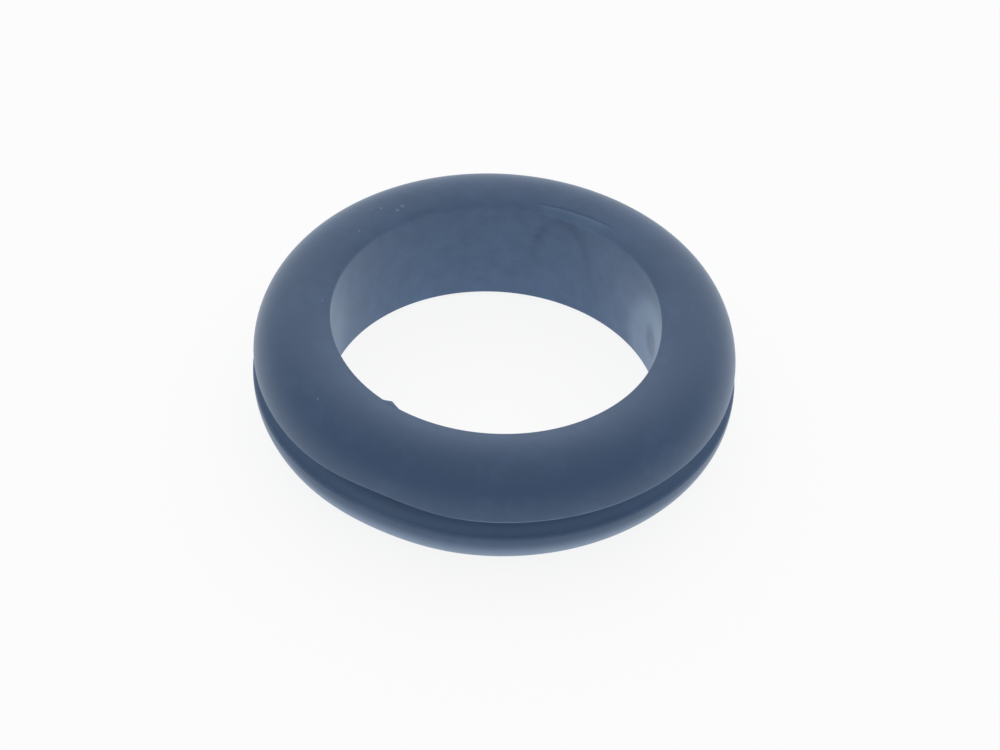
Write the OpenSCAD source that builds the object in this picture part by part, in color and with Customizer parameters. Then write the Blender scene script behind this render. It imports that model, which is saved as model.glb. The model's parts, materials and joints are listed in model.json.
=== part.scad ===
// Rubber panel grommet: one moulded ring with two domed flanges and a groove for the panel's edge.
// Lengths are in millimetres. The bore's axis is Z, and the origin is at the middle of the groove.

/* [Bore] */
// Diameter of the hole that the cable passes through
bore_d = 22; // [10:0.5:60]
// Radius of the edge between the bore and the top of a flange
rim_r = 0.25; // [0.1:0.05:0.5]
// Depth of the bore's edge below the crest of a flange, before that edge is rounded
rim_drop = 0.35; // [0.15:0.05:0.6]

/* [Panel groove] */
// Wall of rubber between the bore and the groove's floor, which fills the panel hole
web_t = 2.5; // [1.5:0.1:4]
// Thickness of the panel, which is the groove's width
panel_t = 1.5; // [0.8:0.1:2.5]
// Radius in the two corners of the groove's floor
floor_r = 0.3; // [0.1:0.05:0.4]

/* [Flanges] */
// How far each flange reaches over the panel from the edge of its hole
flange_reach = 2.5; // [1.8:0.1:5]
// Height from the crest of one flange to the crest of the other
height = 8.5; // [6:0.1:10]
// Radius of the lip where a flange turns into the groove
lip_r = 0.15; // [0.05:0.05:0.4]

/* [Hidden] */
$fn = 96;

rubber_colour = "#4c5c73";

bore_r = bore_d / 2;
groove_r = bore_r + web_t;
flange_r = groove_r + flange_reach;
lip_z = panel_t / 2;
crest_z = height / 2;

// Depth by which one arc of the section crosses the next, so that the two join cleanly
eps = 0.0001;
// Reach of the rectangles that take a part out of a whole circle
past = 2 * flange_r;

// The crown is the quarter round from the lip up to the crest
crown_r = crest_z - lip_z - lip_r;
crown_c = [flange_r - crown_r, lip_z + lip_r];
lip_c = [flange_r - lip_r, crown_c.y];

// The brow is the flatter arc that leads the crest down to the bore
brow_w = crown_c.x - bore_r;
brow_r = (pow(brow_w, 2) + pow(rim_drop, 2)) / (2 * rim_drop);
brow_c = [crown_c.x, crest_z - brow_r - eps];

// The rim is the rounded edge that touches the bore's wall and the brow
rim_x = bore_r + rim_r;
rim_c = [rim_x, brow_c.y + sqrt(pow(brow_r - rim_r + eps, 2) - pow(brow_c.x - rim_x, 2))];
rim_end_x = brow_c.x - (brow_c.x - rim_x) * brow_r / (brow_r - rim_r);

// Rectangle between two corners of the section
module span(low, high) {
    polygon([low, [high.x, low.y], high, [low.x, high.y]]);
}

// Whole circle of the section
module disc(centre, radius) {
    translate(centre) circle(radius);
}

// The part of a circle that lies between two corners of the section
module arc_in(centre, radius, low, high) {
    intersection() {
        disc(centre, radius);
        span(low, high);
    }
}

// Rounding in the corner between the groove's floor and the underside of a flange
module floor_rounding() {
    corner = [groove_r, lip_z];
    difference() {
        span(corner - [0, floor_r], corner + [floor_r, 0]);
        disc(corner + [floor_r, -floor_r], floor_r);
    }
}

// What the rim takes off the corner between the brow and the bore
module rim_cut() {
    difference() {
        span([0, rim_c.y], [rim_end_x, past]);
        disc(rim_c, rim_r);
    }
}

// Section of a flange above the groove, from the bore out to the lip
module flange_section() {
    arc_in(crown_c, crown_r, [rim_end_x, crown_c.y], [past, past]);
    arc_in(lip_c, lip_r, [lip_c.x, 0], [past, lip_c.y]);
    span([bore_r, lip_z], lip_c);
    span([bore_r, lip_c.y], [crown_c.x, rim_c.y]);
    difference() {
        arc_in(brow_c, brow_r, [bore_r, rim_c.y], [crown_c.x, past]);
        rim_cut();
    }
}

// Section of the half above the groove's middle
module upper_half() {
    flange_section();
    span([bore_r, 0], [groove_r, lip_z]);
    floor_rounding();
}

// The whole grommet, moulded in one piece
module grommet() {
    color(rubber_colour)
        rotate_extrude() {
            upper_half();
            mirror([0, 1]) upper_half();
        }
}

grommet();
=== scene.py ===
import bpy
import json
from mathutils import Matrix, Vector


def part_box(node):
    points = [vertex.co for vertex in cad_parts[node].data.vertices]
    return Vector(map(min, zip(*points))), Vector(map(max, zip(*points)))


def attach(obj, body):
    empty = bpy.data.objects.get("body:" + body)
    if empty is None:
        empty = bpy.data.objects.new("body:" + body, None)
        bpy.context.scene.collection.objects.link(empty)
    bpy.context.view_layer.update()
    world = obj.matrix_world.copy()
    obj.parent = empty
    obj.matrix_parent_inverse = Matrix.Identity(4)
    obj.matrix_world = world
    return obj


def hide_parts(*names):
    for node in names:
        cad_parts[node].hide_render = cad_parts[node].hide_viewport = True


bl_info = {
    "name": "Rubber panel grommet",
    "version": (1, 0, 0),
    "blender": (4, 5, 0),
    "location": "View3D > Sidebar > Grommet",
    "description": "Dresses a panel grommet as moulded slate-blue rubber and lights it on a white table",
    "category": "Object",
}

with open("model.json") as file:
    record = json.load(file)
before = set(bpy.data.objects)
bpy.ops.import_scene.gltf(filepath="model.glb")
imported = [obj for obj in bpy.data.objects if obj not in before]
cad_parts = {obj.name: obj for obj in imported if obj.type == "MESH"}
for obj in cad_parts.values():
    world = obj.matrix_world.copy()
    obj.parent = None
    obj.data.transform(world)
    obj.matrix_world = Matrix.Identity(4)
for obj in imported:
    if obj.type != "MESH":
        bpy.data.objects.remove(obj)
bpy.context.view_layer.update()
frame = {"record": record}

import json
import math

import bmesh
import bpy
from bpy.props import FloatProperty, FloatVectorProperty, IntProperty, PointerProperty
from mathutils import Matrix, Vector

NODE = "grommet"
BODY = "root"

MM = 0.001
MOUNT = {mount["name"]: mount["dims"] for mount in frame["record"]["mounts"]}
NODE_LOW, NODE_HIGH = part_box(NODE)
# Width of the image in pixels, and the nearest distance that the camera shows, in metres
IMAGE_WIDTH = 1000
CLIP_START = 0.01

# Steps along each stretch of half the section, from the bore to the groove's floor
STEPS = {
    "wall": 12,
    "rim": 8,
    "brow": 24,
    "crest": 8,
    "crown": 36,
    "lip": 6,
    "face": 5,
    "corner": 5,
    "floor": 2,
}

# Distances in mm between which a finish fades in, outward from the bore's wall
BORE_FADE = (0.1, 0.02)
BROW_FADE = (1.8, 0.5)
WEB_FADE = (0.5, 1.0)
# The same, outward from the groove's floor and from the edge of the flanges
FLANGE_FADE = (0.0, 0.5)
DEPTH_FADE = (0.1, -1.1)
# The same, upward from the groove's lip, from the crest and from the middle of the groove
LIP_FADE = (0.12, -0.05)
RIM_FADE = (-0.8, -0.5)
HIGH_FADE = (-1.0, 3.5)
LOWER_FADE = (-1.2, -2.4)
# The same, backward from the bore's axis
FAR_FADE = (2.0, 12.0)

# Noises of the finish, and the values at which the mottle and the streaks are least and most
MOTTLE_NOISE = {"scale": 420.0, "detail": 4.0, "roughness": 0.75}
MOTTLE_BAND = (0.3, 0.75)
STREAK_NOISE = {"scale": 900.0, "detail": 5.0, "roughness": 0.6}
STREAK_BAND = (0.3, 0.7)
GRAIN_NOISE = {"scale": 9000.0, "detail": 3.0}
# How much rougher the rubber gets with the bloom of the mottle
MOTTLE_ROUGHNESS = 0.3

# How far a painted reflection on the bore's wall reaches into the rubber and into the bore, in mm
REFLECTION_DEPTH = 2.0
# Painted reflections on the bore's wall: angle in degrees, height, half width and half height in mm,
# softness of the edge, and how much paler the reflection is, or how much paleness it takes off where
# negative
BORE_PAINTED_REFLECTIONS = (
    (12.0, -2.0, 5.1, 4.7, 0.17, 0.34),
    (17.0, 0.7, 1.7, 1.7, 0.6, 0.14),
    (31.0, -1.4, 1.9, 1.6, 0.6, 0.06),
    (30.0, 0.6, 2.2, 1.4, 0.7, 0.12),
    (40.0, -2.4, 1.8, 1.8, 0.8, 0.08),
    (19.8, -0.8, 0.85, 1.2, 0.6, -0.5),
    (47.0, 1.5, 1.6, 2.2, 0.7, 0.05),
    (58.0, 1.6, 1.3, 2.4, 0.6, 0.03),
    (164.0, -1.2, 1.4, 2.8, 0.6, 0.18),
    (52.2, 0.0, 0.2, 0.12, 0.5, -0.04),
)
# Dark painted reflections in the form of arches on the bore's wall: angle in degrees, height, half width
# and half height in mm, share of the size that the arch is wide, and how much darker it is
PAINTED_REFLECTED_ARCHES = (
    (68.5, -0.3, 2.0, 3.7, 0.26, 0.23),
)
# Shares of a painted arch's half height between which it fades in, so that it is an arch
ARCH_FADE = (-0.3, 0.5)
# Specks of dust: place in x, y and z, and radius, in mm
DUST_SPECKS = (
    (-7.08, 9.70, 4.20, 0.10),
    (-6.78, 10.11, 4.21, 0.11),
    (-8.18, 9.74, 4.25, 0.08),
    (9.79, 10.18, 3.91, 0.09),
    (-11.34, -8.63, 3.84, 0.07),
    (-11.56, 0.48, 4.09, 0.06),
    (-9.51, 7.41, 4.22, 0.07),
)
# Shares of a speck's radius between which it fades in
SPECK_EDGE = (1.7, 0.2)


class GrommetSection(bpy.types.PropertyGroup):
    """Sizes of the ring's section"""

    bore_r: FloatProperty(
        name="Bore radius",
        description="Radius of the hole that the cable passes through",
        default=MOUNT["cable_bore"]["r_mm"] * MM,
        unit="LENGTH",
        precision=5,
    )
    rim_drop: FloatProperty(
        name="Rim drop",
        description="Depth of the bore's edge below the crest of a flange, before that edge is rounded",
        default=0.35 * MM,
        unit="LENGTH",
        precision=5,
    )
    rim_r: FloatProperty(
        name="Rim radius",
        description="Radius of the edge between the bore and the top of a flange",
        default=0.1 * MM,
        unit="LENGTH",
        precision=5,
    )
    groove_r: FloatProperty(
        name="Groove radius",
        description="Radius of the groove's floor, which fills the panel hole",
        default=MOUNT["panel_groove"]["r_mm"] * MM,
        unit="LENGTH",
        precision=5,
    )
    groove_w: FloatProperty(
        name="Groove width",
        description="Width of the groove that takes the panel's edge",
        default=MOUNT["panel_groove"]["length_mm"] * MM,
        unit="LENGTH",
        precision=5,
    )
    floor_r: FloatProperty(
        name="Floor radius",
        description="Radius in the two corners of the groove's floor",
        default=0.3 * MM,
        unit="LENGTH",
        precision=5,
    )
    flange_r: FloatProperty(
        name="Flange radius",
        description="Outer radius of both flanges",
        default=NODE_HIGH.x,
        unit="LENGTH",
        precision=5,
    )
    crest_z: FloatProperty(
        name="Crest height",
        description="Height of a flange's crest above the middle of the groove",
        default=NODE_HIGH.z,
        unit="LENGTH",
        precision=5,
    )
    lip_r: FloatProperty(
        name="Lip radius",
        description="Radius of the lip where a flange turns into the groove",
        default=0.15 * MM,
        unit="LENGTH",
        precision=5,
    )
    steps: IntProperty(
        name="Steps around",
        description="Number of sections around the ring, without the finer ones at the flash",
        default=384,
    )


class GrommetFlash(bpy.types.PropertyGroup):
    """The nib of moulding flash that was left on the upper rim of the bore"""

    angle: FloatProperty(
        name="Flash angle",
        description="Where the nib's tip stands, counted from +X around the bore's axis",
        default=math.radians(233.0),
        unit="ROTATION",
    )
    rise: FloatProperty(
        name="Flash rise",
        description="Distance along the rim over which the nib rises to its tip",
        default=0.6 * MM,
        unit="LENGTH",
        precision=5,
    )
    fall: FloatProperty(
        name="Flash fall",
        description="Distance along the rim over which the nib drops from its tip",
        default=0.75 * MM,
        unit="LENGTH",
        precision=5,
    )
    height: FloatProperty(
        name="Flash height",
        description="How far the nib's tip stands out of the rim",
        default=0.23 * MM,
        unit="LENGTH",
        precision=5,
    )
    thickness: FloatProperty(
        name="Flash thickness",
        description="Half the thickness of the nib at its foot",
        default=0.12 * MM,
        unit="LENGTH",
        precision=5,
    )


class GrommetDent(bpy.types.PropertyGroup):
    """The soft dent that handling has left in the edges of both flanges"""

    angle: FloatProperty(
        name="Dent angle",
        description="Where the dent is deepest, counted from +X around the bore's axis",
        default=math.radians(243.5),
        unit="ROTATION",
    )
    spread: FloatProperty(
        name="Dent spread",
        description="Angle from the deepest place to where the dent has mostly run out",
        default=math.radians(14.0),
        unit="ROTATION",
    )
    depth: FloatProperty(
        name="Dent depth",
        description="How far the dent presses the edges of the flanges inward",
        default=0.18 * MM,
        unit="LENGTH",
        precision=5,
    )
    lift: FloatProperty(
        name="Lip lift",
        description="How far the upper flange's lip is bent up at the dent",
        default=0.3 * MM,
        unit="LENGTH",
        precision=5,
    )
    droop: FloatProperty(
        name="Lip droop",
        description="How far the soft lip of the upper flange hangs down elsewhere",
        default=0.1 * MM,
        unit="LENGTH",
        precision=5,
    )


class GrommetTrim(bpy.types.PropertyGroup):
    """The scar where flash was trimmed off the upper rim, with a crease along the cut"""

    angle: FloatProperty(
        name="Trim angle",
        description="Middle of the scar, counted from +X around the bore's axis",
        default=math.radians(65.0),
        unit="ROTATION",
    )
    spread: FloatProperty(
        name="Trim spread",
        description="Angle from the middle of the scar to its ends",
        default=math.radians(16.0),
        unit="ROTATION",
    )
    reach: FloatProperty(
        name="Trim reach",
        description="Distance of the crease from the bore's wall, in the middle of the scar",
        default=0.575 * MM,
        unit="LENGTH",
        precision=5,
    )
    slant: FloatProperty(
        name="Trim slant",
        description="How far the crease runs outward over one radian against the angle",
        default=0.55 * MM,
        unit="LENGTH",
        precision=5,
    )
    depth: FloatProperty(
        name="Crease depth",
        description="Depth of the crease",
        default=0.026 * MM,
        unit="LENGTH",
        precision=5,
    )
    width: FloatProperty(
        name="Crease width",
        description="Half the width of the crease",
        default=0.085 * MM,
        unit="LENGTH",
        precision=5,
    )


class GrommetLean(bpy.types.PropertyGroup):
    """The side where the soft ring leans inward at its top"""

    angle: FloatProperty(
        name="Lean angle",
        description="Where the ring leans most, counted from +X around the bore's axis",
        default=math.radians(0.0),
        unit="ROTATION",
    )
    spread: FloatProperty(
        name="Lean spread",
        description="Angle from the most lean to where it has mostly run out",
        default=math.radians(24.0),
        unit="ROTATION",
    )
    depth: FloatProperty(
        name="Lean depth",
        description="How far the top of the ring leans inward",
        default=0.2 * MM,
        unit="LENGTH",
        precision=5,
    )


class GrommetFinish(bpy.types.PropertyGroup):
    """Colours and surface of the moulded rubber, and the colours of its painted fill light, reflections
    and highlight
    """

    # The rubber's own colour, which painted fill light and random bloom make paler in places
    rubber_colour: FloatVectorProperty(
        name="Rubber",
        description="Colour of the moulded rubber where handling has wiped it",
        default=(0.0397, 0.079, 0.1565),
        subtype="COLOR",
        size=3,
    )
    # Pale colour of random bloom, and of painted fill light in the bore, in the groove, on the brow and
    # on the far side, and of the painted highlight at the trimming scar
    bloom_and_painted_fill_colour: FloatVectorProperty(
        name="Bloom",
        description="Paler colour of the bloom that stays in the bore and in the groove",
        default=(0.114, 0.200, 0.342),
        subtype="COLOR",
        size=3,
    )
    outside_roughness: FloatProperty(
        name="Outside roughness",
        description="Roughness of the matte flanges and the groove",
        default=0.5,
        subtype="FACTOR",
    )
    bore_roughness: FloatProperty(
        name="Bore roughness",
        description="Roughness of the bore, which a polished core leaves smoother",
        default=0.48,
        subtype="FACTOR",
    )
    # Pale colour of painted light: fill in the groove, a table reflection on the lower flange and
    # reflections on the bore's wall
    painted_light_colour: FloatVectorProperty(
        name="Talc",
        description="Pale colour of the talc that is left in the groove and in the bore",
        default=(0.285, 0.400, 0.560),
        subtype="COLOR",
        size=3,
    )
    dust_colour: FloatVectorProperty(
        name="Dust",
        description="Colour of the specks of dust",
        default=(0.17, 0.22, 0.29),
        subtype="COLOR",
        size=3,
    )
    mottle: FloatVectorProperty(
        name="Mottle",
        description="Least and most bloom in the mottle of the whole surface",
        default=(-0.08, 0.1),
        size=2,
    )
    # Painted fill light in the bore: its level, with random streaks in it
    streaks: FloatVectorProperty(
        name="Streaks",
        description="Least and most bloom in the streaks on the bore's wall",
        default=(0.38, 0.54),
        size=2,
    )
    # Painted fill light high on the bore's wall
    high_bore_painted_fill: FloatProperty(
        name="High bloom",
        description="Bloom that is added high on the bore's wall",
        default=0.07,
        subtype="FACTOR",
    )
    # Painted fill light that lifts the shade in the groove
    groove_painted_fill: FloatProperty(
        name="Groove bloom",
        description="Bloom that is added in the groove",
        default=0.65,
        subtype="FACTOR",
    )
    # Painted light that makes the brow beside the bore lighter
    brow_painted_light: FloatProperty(
        name="Brow bloom",
        description="Bloom that is added on the brow beside the bore",
        default=0.08,
        subtype="FACTOR",
    )
    # Painted light that makes the far side lighter
    far_painted_light: FloatProperty(
        name="Far bloom",
        description="Bloom that is added on the far side, which handling has wiped less",
        default=0.08,
        subtype="FACTOR",
    )
    # Painted highlight on the rim beside the trimming crease
    trim_painted_highlight: FloatProperty(
        name="Trim bloom",
        description="Bloom that is added on the rim inside the trimming scar",
        default=0.22,
        subtype="FACTOR",
    )
    # Share of the painted fill light in the upper half of the groove
    upper_painted_fill: FloatProperty(
        name="Upper talc",
        description="Share of the talc that is left in the upper half of the groove",
        default=0.5,
        subtype="FACTOR",
    )
    # Painted reflection of the bright table on the low edge of the lower flange
    lower_flange_painted_reflection: FloatProperty(
        name="Lower talc",
        description="Share of the talc on the edge of the lower flange",
        default=0.28,
        subtype="FACTOR",
    )
    dust_share: FloatProperty(
        name="Dust share",
        description="How much of the rubber a speck of dust covers",
        default=0.65,
        subtype="FACTOR",
    )
    grain: FloatProperty(
        name="Grain",
        description="Strength of the fine grain",
        default=0.2,
        subtype="FACTOR",
    )
    grain_depth: FloatProperty(
        name="Grain depth",
        description="Depth of the fine grain",
        default=0.02 * MM,
        unit="LENGTH",
        precision=5,
    )


class GrommetStage(bpy.types.PropertyGroup):
    """Camera, table and light"""

    distance: FloatProperty(
        name="Camera distance",
        description="Distance of the camera from the middle of the grommet",
        default=0.42,
        unit="LENGTH",
    )
    elevation: FloatProperty(
        name="Camera elevation",
        description="Angle at which the camera looks down",
        default=math.radians(43.12),
        unit="ROTATION",
    )
    roll: FloatProperty(
        name="Camera roll",
        description="Turn of the camera about its own line of sight",
        default=math.radians(3.224),
        unit="ROTATION",
    )
    pixels_per_metre: FloatProperty(
        name="Image scale",
        description="Pixels of the image that one metre covers at the middle of the grommet",
        default=15113.0,
    )
    middle: FloatVectorProperty(
        name="Middle in the image",
        description="Pixels by which the grommet's middle lies right of and below the image's centre",
        default=(-4.85, -14.13),
        size=2,
    )
    floor_size: FloatProperty(
        name="Table size",
        description="Side of the square table",
        default=3.0,
        unit="LENGTH",
    )
    backdrop_height: FloatProperty(
        name="Backdrop height",
        description="Height of the low backdrop around the table",
        default=0.12,
        unit="LENGTH",
    )
    top_light: FloatProperty(
        name="Top light",
        description="Brightness of the room straight above the grommet",
        default=1.16,
    )
    back_light: FloatProperty(
        name="Back light",
        description="Brightness of the room straight behind the grommet",
        default=1.56,
    )
    table_light: FloatProperty(
        name="Table light",
        description="Brightness of the light table under the grommet",
        default=0.65,
    )
    table_colour: FloatVectorProperty(
        name="Table",
        description="Colour of the table's paint",
        default=(0.9, 0.9, 0.9),
        subtype="COLOR",
        size=3,
    )
    table_white: FloatProperty(
        name="Table white",
        description="Share of plain white in the table as it is seen, while the rest keeps the shadow",
        default=0.88,
        subtype="FACTOR",
    )
    backdrop_colour: FloatVectorProperty(
        name="Backdrop",
        description="Colour of the backdrop's cloth, as it lights the grommet",
        default=(0.4, 0.4, 0.4),
        subtype="COLOR",
        size=3,
    )


def arc(centre, radius, start, end, steps):
    """Points on an arc of the section, with angles in degrees and both ends included"""
    points = []
    for step in range(steps + 1):
        angle = math.radians(start + (end - start) * step / steps)
        points.append((centre[0] + radius * math.cos(angle), centre[1] + radius * math.sin(angle)))
    return points


def line(start, end, steps):
    """Points on a straight stretch of the section, both ends included"""
    points = []
    for step in range(steps + 1):
        part = step / steps
        points.append((start[0] + (end[0] - start[0]) * part, start[1] + (end[1] - start[1]) * part))
    return points


def crown_arc(section):
    """Centre and radius of the crown, the quarter round from the lip up to the crest"""
    lip_top = section.groove_w / 2 + section.lip_r
    radius = section.crest_z - section.groove_w / 2 - section.lip_r
    return (section.flange_r - radius, lip_top), radius


def rim_arcs(section):
    """Centres of the rim and the brow, the brow's radius and the angle at which the two meet"""
    crest_r = crown_arc(section)[0][0]
    brow_w = crest_r - section.bore_r
    brow_r = (brow_w ** 2 + section.rim_drop ** 2) / (2 * section.rim_drop)
    brow_c = (crest_r, section.crest_z - brow_r)
    across = brow_w - section.rim_r
    above = math.sqrt((brow_r - section.rim_r) ** 2 - across ** 2)
    rim_c = (section.bore_r + section.rim_r, brow_c[1] + above)
    meet = math.degrees(math.atan2(above, -across))
    return rim_c, brow_c, brow_r, meet


def upper_section(section):
    """Half of the section's outline, from the bore over the crest to the groove's floor"""
    lip_z = section.groove_w / 2
    crown_c, crown_r = crown_arc(section)
    lip_c = (section.flange_r - section.lip_r, crown_c[1])
    corner_c = (section.groove_r + section.floor_r, lip_z - section.floor_r)
    rim_c, brow_c, brow_r, meet = rim_arcs(section)
    inner_end = (meet + 90.0) / 2
    stretches = [
        line((section.bore_r, 0.0), (section.bore_r, rim_c[1]), STEPS["wall"]),
        arc(rim_c, section.rim_r, 180.0, meet, STEPS["rim"]),
        arc(brow_c, brow_r, meet, inner_end, STEPS["brow"]),
        arc(brow_c, brow_r, inner_end, 90.0, STEPS["crest"]),
        arc(crown_c, crown_r, 90.0, 0.0, STEPS["crown"]),
        arc(lip_c, section.lip_r, 0.0, -90.0, STEPS["lip"]),
        line((lip_c[0], lip_z), (corner_c[0], lip_z), STEPS["face"]),
        arc(corner_c, section.floor_r, 90.0, 180.0, STEPS["corner"]),
        line((section.groove_r, corner_c[1]), (section.groove_r, 0.0), STEPS["floor"]),
    ]
    points = [stretches[0][0]]
    for stretch in stretches:
        points.extend(stretch[1:])
    return points


def whole_section(section):
    """Closed outline of the ring's section"""
    upper = upper_section(section)
    lower = [(r, -z) for r, z in reversed(upper[1:-1])]
    return upper + lower


def ring_angles(section, flash, flash_steps=36, flash_share=2.5):
    """Angles of the sections around the ring, closer together around the flash"""
    reach = flash_share * max(flash.rise, flash.fall) / section.flange_r
    angles = [flash.angle - reach + 2 * reach * step / flash_steps for step in range(flash_steps)]
    rest = 2 * math.pi - 2 * reach
    angles.extend(flash.angle + reach + rest * step / section.steps for step in range(section.steps))
    return angles


def soft_share(value, start, end):
    """Soft step from 0 at the start to 1 at the end"""
    part = min(1.0, max(0.0, (value - start) / (end - start)))
    return part * part * (3.0 - 2.0 * part)


def bell(value):
    """Bell curve, which is 1 at zero and has mostly run out at 1 to either side"""
    return math.exp(-value ** 2)


def turn_from(middle, angle):
    """Angle counted from a middle, at most half a turn to either side"""
    return math.remainder(angle - middle, 2 * math.pi)


def flash_offset(section, flash, r, z, angle):
    """Offset of a point of the section, outward and upward, where the nib stands on the rim"""
    rim_c, _, _, meet = rim_arcs(section)
    tip = math.radians((180.0 + meet) / 2)
    foot = (rim_c[0] + section.rim_r * math.cos(tip), rim_c[1] + section.rim_r * math.sin(tip))
    away = math.hypot(r - foot[0], z - foot[1]) / flash.thickness
    along = (angle - flash.angle) * section.bore_r
    slope = flash.rise if along < 0 else flash.fall
    share = max(0.0, 1.0 - abs(along) / slope) * bell(away)
    return flash.height * share * math.cos(tip), flash.height * share * math.sin(tip)


def dent_offset(section, dent, r, z, angle):
    """Offset of a point of the section, outward and upward, where the soft flanges have given way"""
    share = bell(turn_from(dent.angle, angle) / dent.spread)
    lip_z = section.groove_w / 2
    from_lip = abs(abs(z) - lip_z)
    edge = soft_share(r, section.groove_r, section.flange_r)
    near = edge * soft_share(from_lip, section.crest_z - lip_z, 0.0)
    lift = dent.lift * share - dent.droop if z > 0.0 else 0.0
    return -dent.depth * share * edge, lift * near


def lean_offset(section, lean, z, angle):
    """Offset of a point of the section, outward and upward, where the ring leans"""
    above = (z + section.crest_z) / (2 * section.crest_z)
    return -lean.depth * above * bell(turn_from(lean.angle, angle) / lean.spread), 0.0


def trim_offset(section, trim, r, z, angle):
    """Offset of a point of the section, outward and upward, in the crease along the upper rim"""
    turn = turn_from(trim.angle, angle)
    if z < 0.0 or abs(turn) > trim.spread:
        return 0.0, 0.0
    crease_r = section.bore_r + trim.reach - trim.slant * turn
    share = bell((r - crease_r) / trim.width)
    return 0.0, -trim.depth * share * soft_share(abs(turn), trim.spread, trim.spread / 2)


def worn_point(scene, r, z, angle):
    """Point of the section at an angle around the ring, moved by what was left on the ring there"""
    section = scene.grommet_section
    offsets = (
        flash_offset(section, scene.grommet_flash, r, z, angle),
        dent_offset(section, scene.grommet_dent, r, z, angle),
        lean_offset(section, scene.grommet_lean, z, angle),
        trim_offset(section, scene.grommet_trim, r, z, angle),
    )
    outward = sum(offset[0] for offset in offsets)
    upward = sum(offset[1] for offset in offsets)
    return Vector((r + outward, 0.0, z + upward))


def new_object(name, mesh):
    """Object of a mesh, linked to the scene"""
    piece = bpy.data.objects.new(name, mesh)
    bpy.context.scene.collection.objects.link(piece)
    return piece


class GROMMET_OT_moulded_ring(bpy.types.Operator):
    """Turns the section into the ring of moulded rubber, with what moulding and handling left on it"""

    bl_idname = "grommet.moulded_ring"
    bl_label = "Moulded ring"

    def execute(self, context):
        mesh = bpy.data.meshes.new("moulded_ring")
        self.turn_section(context.scene, mesh)
        mesh.polygons.foreach_set("use_smooth", [True] * len(mesh.polygons))
        mesh.materials.append(rubber_material(context.scene))
        piece = new_object("moulded_ring", mesh)
        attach(piece, BODY)
        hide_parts(NODE)
        return {"FINISHED"}

    def turn_section(self, scene, mesh):
        """Fills a mesh with the section, turned about the bore's axis"""
        outline = whole_section(scene.grommet_section)
        shape = bmesh.new()
        rings = []
        for angle in ring_angles(scene.grommet_section, scene.grommet_flash):
            turn = Matrix.Rotation(angle, 3, "Z")
            points = [worn_point(scene, r, z, angle) for r, z in outline]
            rings.append([shape.verts.new(turn @ point) for point in points])
        for here, there in zip(rings, rings[1:] + rings[:1]):
            for point in range(len(outline)):
                after = (point + 1) % len(outline)
                shape.faces.new((here[point], there[point], there[after], here[after]))
        bmesh.ops.recalc_face_normals(shape, faces=shape.faces)
        shape.to_mesh(mesh)
        shape.free()


class NodeTree:
    """Short words for building a node tree"""

    def __init__(self, tree):
        self.tree = tree
        tree.nodes.clear()

    def add(self, kind, inputs=None, **settings):
        """New node with its settings, and with its inputs set or linked"""
        node = self.tree.nodes.new(kind)
        for name, value in settings.items():
            setattr(node, name, value)
        for name, value in (inputs or {}).items():
            socket = node.inputs[name]
            if isinstance(value, bpy.types.NodeSocket):
                self.tree.links.new(value, socket)
            else:
                socket.default_value = value
        return node

    def math(self, operation, *values):
        """Result of one step of arithmetic"""
        node = self.add("ShaderNodeMath", dict(enumerate(values)), operation=operation)
        return node.outputs["Value"]

    def vector(self, operation, *values, output="Vector"):
        """Result of one step of arithmetic on vectors"""
        node = self.add("ShaderNodeVectorMath", dict(enumerate(values)), operation=operation)
        return node.outputs[output]

    def step(self, value, start, end, low=0.0, high=1.0):
        """Soft step of a value between start and end, from low to high"""
        node = self.add(
            "ShaderNodeMapRange",
            {"Value": value, "From Min": start, "From Max": end, "To Min": low, "To Max": high},
            interpolation_type="SMOOTHSTEP",
        )
        return node.outputs["Result"]

    def fade(self, value, base, distances, low=0.0, high=1.0):
        """Soft step of a value between two distances in mm from a base, from low to high"""
        start, end = distances
        return self.step(value, base + start * MM, base + end * MM, low, high)

    def mix(self, share, colour, other):
        """Colour that goes over into another one by a share"""
        node = self.add("ShaderNodeMix", {"Factor": share, "A": colour, "B": other}, data_type="RGBA")
        return node.outputs["Result"]

    def noise(self, place, scale, detail=2.0, roughness=0.5):
        """Value of a noise, which is about a half on average"""
        node = self.add(
            "ShaderNodeTexNoise",
            {"Vector": place, "Scale": scale, "Detail": detail, "Roughness": roughness},
        )
        return node.outputs["Fac"]


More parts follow.
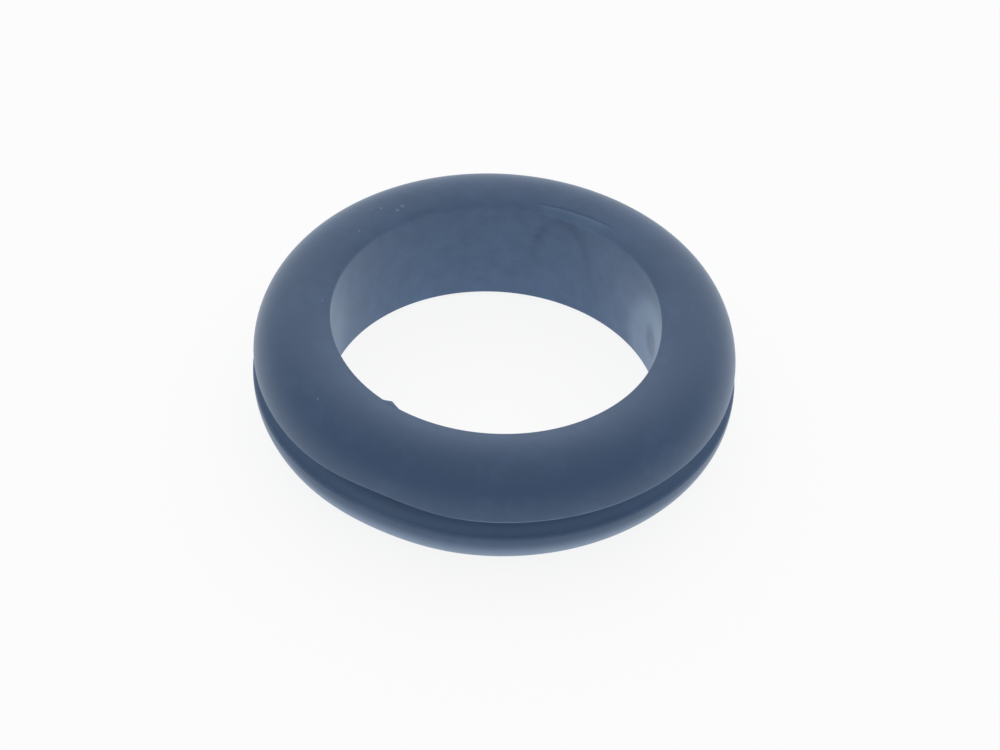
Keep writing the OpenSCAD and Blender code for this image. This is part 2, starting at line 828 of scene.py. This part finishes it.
class RubberNodes(NodeTree):
    """Node tree of the moulded rubber, which works out what lies where on the ring"""

    def __init__(self, tree, scene):
        super().__init__(tree)
        self.section = scene.grommet_section
        self.trim = scene.grommet_trim
        self.lean = scene.grommet_lean
        self.finish = scene.grommet_finish
        self.place = self.add("ShaderNodeTexCoord").outputs["Object"]
        self.axes = self.add("ShaderNodeSeparateXYZ", {"Vector": self.place}).outputs
        self.angle = self.math("ARCTAN2", self.axes["Y"], self.axes["X"])
        self.radius = self.moulded_radius()
        self.in_bore = self.fade(self.radius, self.section.bore_r, BORE_FADE)
        self.in_groove = self.groove_share()
        noise = self.noise(self.place, **MOTTLE_NOISE)
        self.mottle = self.step(noise, *MOTTLE_BAND, *self.finish.mottle)

    def moulded_radius(self):
        """Distance from the bore's axis, as it was before the ring leaned"""
        flat = self.add("ShaderNodeCombineXYZ", {"X": self.axes["X"], "Y": self.axes["Y"]})
        leaning = self.vector("LENGTH", flat.outputs["Vector"], output="Value")
        turn = self.math("SUBTRACT", self.angle, self.lean.angle)
        fall = self.math("MULTIPLY", self.math("MULTIPLY", turn, turn), -1.0 / self.lean.spread ** 2)
        above = self.math("MULTIPLY_ADD", self.axes["Z"], 0.5 / self.section.crest_z, 0.5)
        share = self.math("MULTIPLY", self.math("EXPONENT", fall), above)
        return self.math("MULTIPLY_ADD", share, self.lean.depth, leaning)

    def groove_share(self):
        """1 inside the groove, and 0 outside it"""
        height = self.math("ABSOLUTE", self.axes["Z"])
        between = self.fade(height, self.section.groove_w / 2, LIP_FADE)
        outside = self.fade(self.radius, self.section.bore_r, WEB_FADE)
        return self.math("MULTIPLY", between, outside)

    def groove_painted_light(self):
        """Share of the painted fill light in the groove, which lifts its shade most deep inside and on
        the lower face
        """
        deep = self.fade(self.radius, self.section.flange_r, DEPTH_FADE)
        lower_face = -self.section.groove_w / 2
        lower_face_share = self.step(self.axes["Z"], 0.0, lower_face, self.finish.upper_painted_fill, 1.0)
        return self.math("MULTIPLY", self.math("MULTIPLY", self.in_groove, deep), lower_face_share)

    def flange_painted_reflection(self):
        """Share of the painted reflection of the bright table on the lower flange, outside the groove's
        floor and growing downward
        """
        outside = self.fade(self.radius, self.section.groove_r, FLANGE_FADE)
        low = self.fade(self.axes["Z"], 0.0, LOWER_FADE, 0.0, self.finish.lower_flange_painted_reflection)
        return self.math("MULTIPLY", outside, low)

    def from_painted_reflection(self, mark):
        """Way from the middle of a painted reflection on the bore's wall, as a share of its size"""
        angle, height, half_width, half_height = mark[:4]
        turned = self.add(
            "ShaderNodeVectorRotate",
            {"Vector": self.place, "Angle": -math.radians(angle)},
            rotation_type="Z_AXIS",
        )
        middle = (self.section.bore_r, 0.0, height * MM)
        away = self.vector("SUBTRACT", turned.outputs["Vector"], middle)
        return self.vector("DIVIDE", away, (REFLECTION_DEPTH * MM, half_width * MM, half_height * MM))

    def painted_reflection(self, mark):
        """How much pale painted reflection an oval adds on the bore's wall, or takes off where its share
        is negative
        """
        softness, paler = mark[4:]
        distance = self.vector("LENGTH", self.from_painted_reflection(mark), output="Value")
        return self.step(distance, 1.0 + softness, 1.0 - softness, 0.0, paler)

    def painted_reflected_arch(self, mark):
        """How much bloom a dark painted reflection in the form of an arch takes off the bore's wall"""
        width, darker = mark[4:]
        away = self.from_painted_reflection(mark)
        distance = self.vector("LENGTH", away, output="Value")
        off = self.math("ABSOLUTE", self.math("SUBTRACT", distance, 1.0))
        height = self.add("ShaderNodeSeparateXYZ", {"Vector": away}).outputs["Z"]
        arch = self.step(height, *ARCH_FADE)
        return self.math("MULTIPLY", self.step(off, width, 0.0, 0.0, darker), arch)

    def painted_trim_highlight(self):
        """Painted highlight, as added bloom, on the upper rim between the crease and the bore, where
        flash was trimmed off it
        """
        turn = self.math("SUBTRACT", self.angle, self.trim.angle)
        window = self.step(self.math("ABSOLUTE", turn), self.trim.spread, self.trim.spread / 2)
        upper = self.fade(self.axes["Z"], self.section.crest_z, RIM_FADE)
        middle_r = self.section.bore_r + self.trim.reach
        crease_r = self.math("MULTIPLY_ADD", turn, -self.trim.slant, middle_r)
        off = self.math("SUBTRACT", self.radius, crease_r)
        # Painted highlight between the crease and the bore
        cut = self.step(off, 0.0, -self.trim.width, 0.0, self.finish.trim_painted_highlight)
        return self.math("MULTIPLY", self.math("MULTIPLY", cut, window), upper)

    def dust_speck(self, speck):
        """Share of a round speck of dust"""
        x, y, z, radius = speck
        outer, inner = SPECK_EDGE
        distance = self.vector("DISTANCE", self.place, (x * MM, y * MM, z * MM), output="Value")
        share = self.finish.dust_share
        return self.step(distance, outer * radius * MM, inner * radius * MM, 0.0, share)

    def bloom(self):
        """Share of the bloom colour: random mottle and streaks, with painted fill light in the bore, in
        the groove and on the brow, a painted lighter far side, dark painted reflected arches in the bore
        and a painted highlight at the trimming scar
        """
        # Painted fill light in the bore, a pale level with random streaks that rises up the wall, over a
        # random mottle everywhere
        noise = self.noise(self.place, **STREAK_NOISE)
        streaks = self.step(noise, *STREAK_BAND, *self.finish.streaks)
        high = self.fade(self.axes["Z"], 0.0, HIGH_FADE, 0.0, self.finish.high_bore_painted_fill)
        bloom = self.math("MULTIPLY_ADD", self.in_bore, self.math("ADD", streaks, high), self.mottle)
        # Painted fill light in the groove
        bloom = self.math("MULTIPLY_ADD", self.in_groove, self.finish.groove_painted_fill, bloom)
        # Painted light, lighter on the brow toward the bore
        brow = self.fade(self.radius, self.section.bore_r, BROW_FADE, 0.0, self.finish.brow_painted_light)
        # Painted light, lighter toward the far side, outside the bore
        far = self.fade(self.axes["Y"], 0.0, FAR_FADE, 0.0, self.finish.far_painted_light)
        far = self.math("MULTIPLY", far, self.math("SUBTRACT", 1.0, self.in_bore))
        bloom = self.math("ADD", self.math("ADD", brow, far), bloom)
        # Dark painted reflected arches on the bore's wall
        for mark in PAINTED_REFLECTED_ARCHES:
            bloom = self.math("SUBTRACT", bloom, self.painted_reflected_arch(mark))
        # Painted highlight beside the trimming crease
        return self.math("ADD", self.painted_trim_highlight(), bloom)

    def painted_light(self):
        """Share of the pale painted light: fill in the groove, a reflection of the table on the lower
        flange, and reflections on the bore's wall
        """
        painted_light = self.math("ADD", self.groove_painted_light(), self.flange_painted_reflection())
        # Painted reflections on the bore's wall
        for mark in BORE_PAINTED_REFLECTIONS:
            painted_light = self.math("ADD", painted_light, self.painted_reflection(mark))
        return painted_light

    def dust(self):
        """Share of the dust, from all its specks"""
        dust = self.dust_speck(DUST_SPECKS[0])
        for speck in DUST_SPECKS[1:]:
            dust = self.math("MAXIMUM", dust, self.dust_speck(speck))
        return dust

    def roughness(self):
        """Roughness, which is lower in the bore and goes up with the bloom of the mottle"""
        outside = self.finish.outside_roughness
        smooth = self.step(self.in_bore, 0.0, 1.0, outside, self.finish.bore_roughness)
        return self.math("MULTIPLY_ADD", self.mottle, MOTTLE_ROUGHNESS, smooth)

    def grain(self):
        """Normal of the fine grain"""
        noise = self.noise(self.place, **GRAIN_NOISE)
        node = self.add(
            "ShaderNodeBump",
            {"Height": noise, "Strength": self.finish.grain, "Distance": self.finish.grain_depth},
        )
        return node.outputs["Normal"]


def new_material(name):
    """Material that has a node tree"""
    material = bpy.data.materials.new(name)
    material.use_nodes = True
    return material


def rubber_material(scene):
    """Matte moulded rubber with a fine grain, under bloom and dust, with painted fill light, painted
    reflections and a painted highlight in its colour
    """
    material = new_material("moulded_rubber")
    nodes = RubberNodes(material.node_tree, scene)
    finish = scene.grommet_finish
    colour = nodes.mix(nodes.bloom(), (*finish.rubber_colour, 1.0), (*finish.bloom_and_painted_fill_colour, 1.0))
    # Pale painted light: fill in the groove, a table reflection on the lower flange, reflections in the
    # bore
    colour = nodes.mix(nodes.painted_light(), colour, (*finish.painted_light_colour, 1.0))
    colour = nodes.mix(nodes.dust(), colour, (*finish.dust_colour, 1.0))
    shader = nodes.add(
        "ShaderNodeBsdfPrincipled",
        {
            "Base Color": colour,
            "Roughness": nodes.roughness(),
            "Normal": nodes.grain(),
            "IOR": 1.5,
            "Specular IOR Level": 0.33,
            "Sheen Weight": 0.37,
            "Sheen Roughness": 0.4,
            "Sheen Tint": (0.75, 0.88, 1.0, 1.0),
        },
    )
    nodes.add("ShaderNodeOutputMaterial", {"Surface": shader.outputs["BSDF"]})
    return material


def seen_rays(nodes):
    """1 for rays that show the stage, straight or in a reflection, and 0 for rays that carry its light"""
    rays = nodes.add("ShaderNodeLightPath").outputs
    seen = nodes.math("MAXIMUM", rays["Is Camera Ray"], rays["Is Glossy Ray"])
    return nodes.math("MAXIMUM", seen, rays["Is Transmission Ray"])


def backdrop_material(stage):
    """Matte grey cloth that shows white to the camera and in reflections"""
    material = new_material("white_backdrop")
    nodes = NodeTree(material.node_tree)
    cloth = nodes.add("ShaderNodeBsdfDiffuse", {"Color": (*stage.backdrop_colour, 1.0)})
    white = nodes.add("ShaderNodeEmission", {"Strength": 1.0})
    shown = nodes.add(
        "ShaderNodeMixShader",
        {0: seen_rays(nodes), 1: cloth.outputs["BSDF"], 2: white.outputs["Emission"]},
    )
    nodes.add("ShaderNodeOutputMaterial", {"Surface": shown.outputs["Shader"]})
    return material


def table_material(stage):
    """White table top, lit from below, that shows white with a soft shadow"""
    material = new_material("white_table")
    nodes = NodeTree(material.node_tree)
    seen = seen_rays(nodes)
    paint = nodes.add("ShaderNodeBsdfDiffuse", {"Color": (*stage.table_colour, 1.0)})
    white = nodes.add("ShaderNodeEmission", {"Strength": 1.0})
    share = nodes.math("MULTIPLY", seen, stage.table_white)
    shown = nodes.add(
        "ShaderNodeMixShader",
        {0: share, 1: paint.outputs["BSDF"], 2: white.outputs["Emission"]},
    )
    level = nodes.math("MULTIPLY", nodes.math("SUBTRACT", 1.0, seen), stage.table_light)
    glow = nodes.add("ShaderNodeEmission", {"Strength": level})
    mixed = nodes.add("ShaderNodeAddShader", {0: shown.outputs["Shader"], 1: glow.outputs["Emission"]})
    nodes.add("ShaderNodeOutputMaterial", {"Surface": mixed.outputs["Shader"]})
    return material


def room_light(stage):
    """Soft light from the ceiling and from the wall behind the grommet"""
    world = bpy.data.worlds.new("soft_room")
    world.use_nodes = True
    nodes = NodeTree(world.node_tree)
    way = nodes.add("ShaderNodeTexCoord").outputs["Generated"]
    axes = nodes.add("ShaderNodeSeparateXYZ", {"Vector": way}).outputs
    above = nodes.math("MULTIPLY", nodes.math("MAXIMUM", axes["Z"], 0.0), stage.top_light)
    behind = nodes.math("MAXIMUM", axes["Y"], 0.0)
    level = nodes.math("MULTIPLY_ADD", behind, stage.back_light, above)
    glow = nodes.add("ShaderNodeBackground", {"Strength": level})
    nodes.add("ShaderNodeOutputWorld", {"Surface": glow.outputs["Background"]})
    return world


class GROMMET_OT_stage(bpy.types.Operator):
    """Lays the table, hangs the backdrop, lights the room and sets the camera"""

    bl_idname = "grommet.stage"
    bl_label = "Stage"

    def execute(self, context):
        stage = context.scene.grommet_stage
        self.lay_table(stage)
        self.hang_backdrop(stage)
        self.set_camera(context, stage)
        context.scene.world = room_light(stage)
        context.scene.view_settings.view_transform = "Standard"
        return {"FINISHED"}

    def lay_table(self, stage):
        """Square table under the grommet"""
        half = stage.floor_size / 2
        corners = [(-half, -half), (half, -half), (half, half), (-half, half)]
        mesh = bpy.data.meshes.new("table")
        mesh.from_pydata([(x, y, NODE_LOW.z) for x, y in corners], [], [(0, 1, 2, 3)])
        mesh.materials.append(table_material(stage))
        new_object("table", mesh)

    def hang_backdrop(self, stage, steps=64):
        """Low wall around the table, which covers the horizon"""
        radius = stage.floor_size / 2
        turns = [2 * math.pi * step / steps for step in range(steps)]
        ring = [(radius * math.cos(turn), radius * math.sin(turn)) for turn in turns]
        low = [(x, y, NODE_LOW.z) for x, y in ring]
        high = [(x, y, NODE_LOW.z + stage.backdrop_height) for x, y in ring]
        faces = []
        for step in range(steps):
            after = (step + 1) % steps
            faces.append((step, after, after + steps, step + steps))
        mesh = bpy.data.meshes.new("backdrop")
        mesh.from_pydata(low + high, [], faces)
        mesh.materials.append(backdrop_material(stage))
        new_object("backdrop", mesh)

    def set_camera(self, context, stage):
        """Camera that looks down on the grommet from the front"""
        data = bpy.data.cameras.new("camera")
        data.lens = stage.pixels_per_metre * stage.distance * data.sensor_width / IMAGE_WIDTH
        data.shift_x = -stage.middle[0] / IMAGE_WIDTH
        data.shift_y = stage.middle[1] / IMAGE_WIDTH
        data.clip_start = CLIP_START
        back = Vector((0.0, -math.cos(stage.elevation), math.sin(stage.elevation)))
        turn = (-back).to_track_quat("-Z", "Y").to_matrix() @ Matrix.Rotation(stage.roll, 3, "Z")
        camera = bpy.data.objects.new("camera", data)
        camera.matrix_world = Matrix.Translation(back * stage.distance) @ turn.to_4x4()
        context.scene.collection.objects.link(camera)
        context.scene.camera = camera


class GROMMET_PT_panel(bpy.types.Panel):
    """Sizes, finish and steps of the grommet"""

    bl_label = "Grommet"
    bl_idname = "GROMMET_PT_panel"
    bl_space_type = "VIEW_3D"
    bl_region_type = "UI"
    bl_category = "Grommet"

    def draw(self, context):
        for name in SETTINGS:
            group = getattr(context.scene, name)
            for prop in group.__annotations__:
                self.layout.prop(group, prop)
        for operator in OPERATORS:
            self.layout.operator(operator.bl_idname)


SETTINGS = {
    "grommet_section": GrommetSection,
    "grommet_flash": GrommetFlash,
    "grommet_dent": GrommetDent,
    "grommet_trim": GrommetTrim,
    "grommet_lean": GrommetLean,
    "grommet_finish": GrommetFinish,
    "grommet_stage": GrommetStage,
}
OPERATORS = (GROMMET_OT_moulded_ring, GROMMET_OT_stage)


def register():
    for group in SETTINGS.values():
        bpy.utils.register_class(group)
    for name, group in SETTINGS.items():
        setattr(bpy.types.Scene, name, PointerProperty(type=group))
    for operator in OPERATORS:
        bpy.utils.register_class(operator)
    bpy.utils.register_class(GROMMET_PT_panel)


def unregister():
    bpy.utils.unregister_class(GROMMET_PT_panel)
    for operator in reversed(OPERATORS):
        bpy.utils.unregister_class(operator)
    for name, group in reversed(SETTINGS.items()):
        delattr(bpy.types.Scene, name)
        bpy.utils.unregister_class(group)


def main():
    register()
    bpy.ops.grommet.moulded_ring()
    bpy.ops.grommet.stage()


if __name__ == "__main__":
    main()
